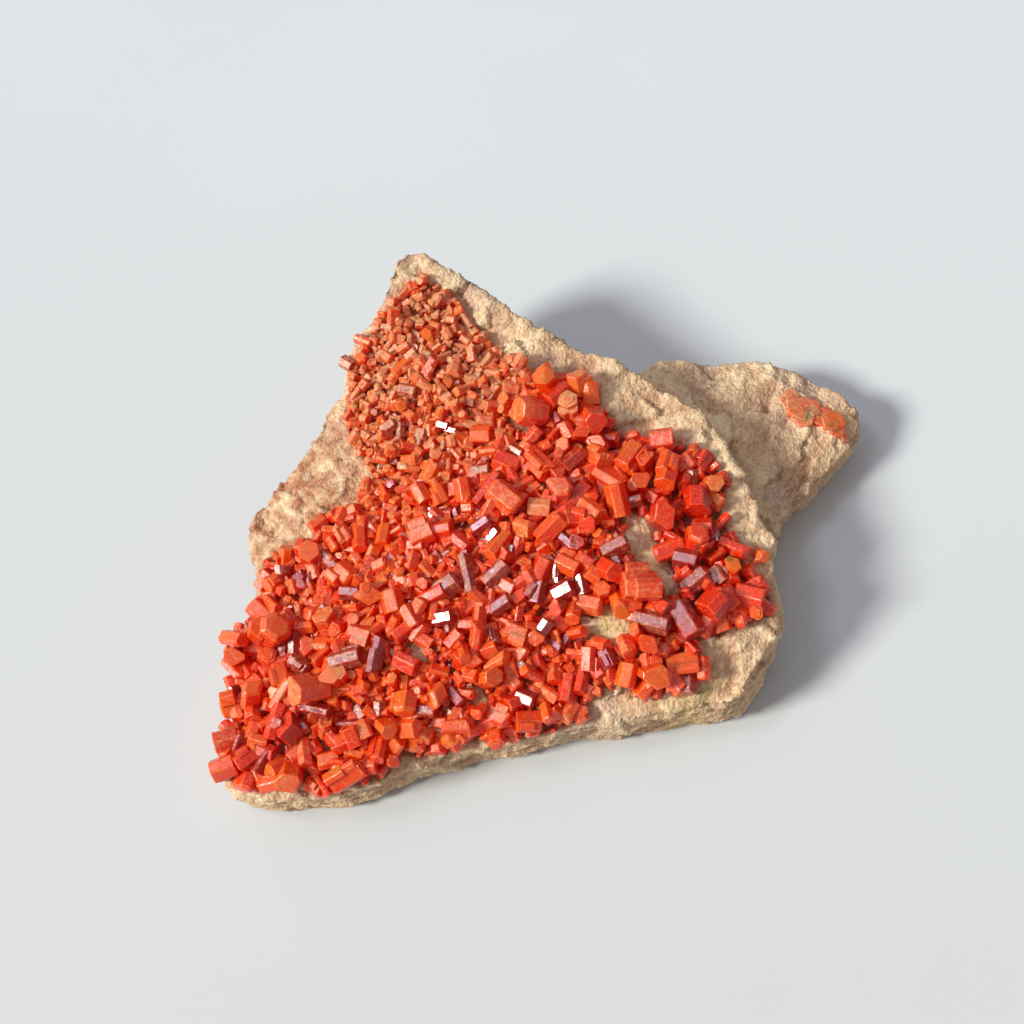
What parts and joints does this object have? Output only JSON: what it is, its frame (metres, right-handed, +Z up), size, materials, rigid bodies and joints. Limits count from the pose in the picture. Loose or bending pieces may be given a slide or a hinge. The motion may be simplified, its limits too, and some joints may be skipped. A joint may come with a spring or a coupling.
{
  "type": "vanadinite on matrix",
  "caption": "Slab of sandy rock with a low side ledge, crusted on top with short orange-red hexagonal crystals, resting on its broken base.",
  "frame": {"origin": "under the middle of the specimen's bounding box, at the level of the surface that it rests on", "axes": "+Z up; +X along the longest extent, towards the low ledge; +Y towards the raised pointed end"},
  "size_m": [0.0856, 0.0712, 0.0231],
  "materials": {
    "matrix_rock": "granular sandy rock, matt, tan to grey-mauve with rusty stains",
    "vanadinite_red": "translucent resinous crystal, bright adamantine reflections, deep red to orange",
    "vanadinite_pink": "translucent crystal with a dusty salmon-pink surface",
    "vanadinite_amber": "translucent crystal, small and amber coloured"
  },
  "bodies": {
    "root": {"matrix": "matrix_rock", "druse": "vanadinite_red", "ledge_crystals": "vanadinite_pink", "rim_crystal": "vanadinite_amber"}
  },
  "joints": []
}
